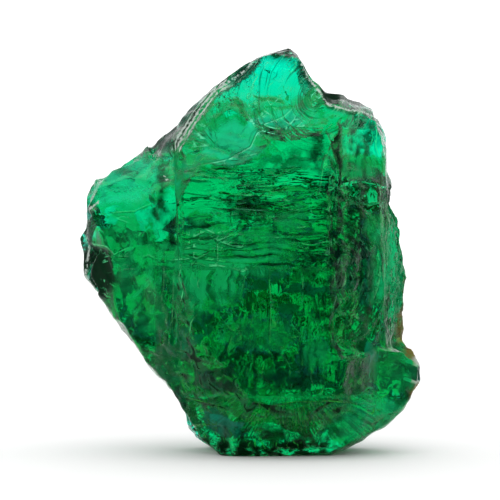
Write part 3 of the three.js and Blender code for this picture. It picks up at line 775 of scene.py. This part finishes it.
rim_colour = add(tree, "Mix", {"Factor": (light_streaks, "Result"), "A": linear("#24483e"),
                               "B": linear("#c8cfc4")}, data_type="RGBA")
stained = add(tree, "Mix", {"Factor": (values["iron"], "Fac"), "A": (rim_colour, "Result"),
                            "B": linear("#9a6a35")}, data_type="RGBA")
frost_edge = add(tree, "MapRange", {"Value": (values["frosted"], "Fac"), "From Max": 0.25})
body_colour = add(tree, "Mix", {"Factor": (frost_edge, "Result"), "A": linear("#48fcf8"),
                                "B": (stained, "Result")}, data_type="RGBA")
# Foggy patches: a pale green that is partly milky bruising and partly painted light
fog_and_glow_colour = add(tree, "Mix", {"Factor": (values["fog_pale"], "Fac"), "A": linear("#12ac60"),
                               "B": linear("#20dca4")}, data_type="RGBA")
fog_edge = add(tree, "MapRange", {"Value": (fog_and_glow_share, "Value"), "From Max": 0.1})
misted_and_glowing_colour = add(tree, "Mix", {"Factor": (fog_edge, "Result"), "A": (body_colour, "Result"),
                                  "B": (fog_and_glow_colour, "Result")}, data_type="RGBA")
# Painted shade, and the dark skin, turn the colour nearly black green
dark_edge = add(tree, "MapRange", {"Value": (dark_share, "Value"), "From Max": 0.6})
darkened_colour = add(tree, "Mix", {"Factor": (dark_edge, "Result"), "A": (misted_and_glowing_colour, "Result"),
                                 "B": linear("#03200f")}, data_type="RGBA")
# The painted highlight on the crease lips is yellow green low down and blue green high up
height = add(tree, "SeparateXYZ", {"Vector": (mm_places, "Vector")})
high_share = add(tree, "MapRange", {"Value": (height, "Z"), "From Min": 4, "From Max": 26})
lip_highlight_colour = add(tree, "Mix", {"Factor": (high_share, "Result"), "A": linear("#38b848"),
                               "B": linear("#6cecbc")}, data_type="RGBA")
lip_highlight_edge = add(tree, "MapRange", {"Value": (lip_highlight_share, "Value"), "From Max": 0.1})
highlighted_colour = add(tree, "Mix", {"Factor": (lip_highlight_edge, "Result"), "A": (darkened_colour, "Result"),
                                  "B": (lip_highlight_colour, "Result")}, data_type="RGBA")
surface_colour = add(tree, "Mix", {"Factor": (pale_share, "Result"),
                                   "A": (highlighted_colour, "Result"), "B": linear("#c9d2cb")},
                     data_type="RGBA")
shader = add(tree, "BsdfPrincipled", {
    "Base Color": (surface_colour, "Result"),
    "Roughness": (roughness, "Result"),
    "IOR": BERYL_IOR,
    "Transmission Weight": (clear_share, "Result"),
    "Specular Tint": linear("#0ca076"),
    "Specular IOR Level": 0,
    "Normal": (bump, "Normal"),
})
volume = add(tree, "VolumeAbsorption", {"Color": (0, 0.9465, 0.855, 1), "Density": ABSORPTION})
add(tree, "OutputMaterial", {"Surface": (shader, 0), "Volume": (volume, 0)})

# A veil bends no light: it only dims it, in strings and clouds, partly as painted shade
veil = bpy.data.materials["dark_veil"]
veil.use_nodes = True
tree = veil.node_tree
tree.nodes.clear()
where = add(tree, "TexCoord")
mm_places = add(tree, "Mapping", {"Vector": (where, "Object"), "Scale": (1000, 1000, 1000)})
clouds = add(tree, "TexNoise", {"Vector": (mm_places, "Vector"), "Scale": 1.6, "Detail": 4})
cloud_share = add(tree, "MapRange", {"Value": (clouds, "Fac"), "From Min": 0.42, "From Max": 0.54,
                                     "To Min": 0.15, "To Max": 1.6})
dark = add(tree, "Attribute", attribute_name="veil")
dark_share = add(tree, "Math", {0: (cloud_share, "Result"), 1: (dark, "Fac")},
                 operation="MULTIPLY", use_clamp=True)
# Painted shade in part: a nearly black green that dims the light through the veil
dim_colour = add(tree, "Mix", {"Factor": (dark_share, "Value"), "A": (1, 1, 1, 1),
                               "B": (0.03, 0.13, 0.05, 1)}, data_type="RGBA")
shader = add(tree, "BsdfPrincipled", {
    "Base Color": (dim_colour, "Result"), "Roughness": 0, "IOR": 1.0, "Transmission Weight": 1})
add(tree, "OutputMaterial", {"Surface": (shader, 0)})
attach(stone, "root")
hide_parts("emerald")


# The studio: a pale seamless floor, and soft white light from above and from behind. It is dimmer
# in a low ring beside and before the stone, as where dark cards shade a gem from the sides.
FLOOR_SIZE = 3
STUDIO_LIGHT = 1.35
SURROUND_LIGHT = 0.5

floor_mesh = bpy.data.meshes.new("floor")
half = FLOOR_SIZE / 2
corners = [(-half, -half, 0), (half, -half, 0), (half, half, 0), (-half, half, 0)]
floor_mesh.from_pydata(corners, [], [(0, 1, 2, 3)])
floor = bpy.data.objects.new("floor", floor_mesh)
scene.collection.objects.link(floor)
paper = bpy.data.materials.new("white_paper")
paper.use_nodes = True
paper.node_tree.nodes.clear()
sheet = add(paper.node_tree, "BsdfPrincipled", {"Base Color": linear("#f9f9f9"), "Roughness": 0.9})
add(paper.node_tree, "OutputMaterial", {"Surface": (sheet, 0)})
floor_mesh.materials.append(paper)

world = bpy.data.worlds.new("studio")
world.use_nodes = True
world.node_tree.nodes.clear()
tree = world.node_tree
sky = add(tree, "TexCoord")
sky_parts = add(tree, "SeparateXYZ", {"Vector": (sky, "Generated")})
behind = add(tree, "MapRange", {"Value": (sky_parts, "Y"), "From Min": 0.76, "From Max": 0.90},
             interpolation_type="SMOOTHSTEP")
above = add(tree, "MapRange", {"Value": (sky_parts, "Z"), "From Min": 0.35, "From Max": 0.55},
            interpolation_type="SMOOTHSTEP")
bright = add(tree, "Math", {0: (behind, "Result"), 1: (above, "Result")}, operation="MAXIMUM")
strength = add(tree, "MapRange", {"Value": (bright, "Value"), "To Min": SURROUND_LIGHT,
                                  "To Max": STUDIO_LIGHT})
air = add(tree, "Background", {"Color": (1, 1, 1, 1), "Strength": (strength, "Result")})
add(tree, "OutputWorld", {"Surface": (air, 0)})
scene.world = world
scene.view_settings.view_transform = "Standard"
scene.cycles.max_bounces = 24
scene.cycles.transmission_bounces = 24
scene.cycles.glossy_bounces = 24
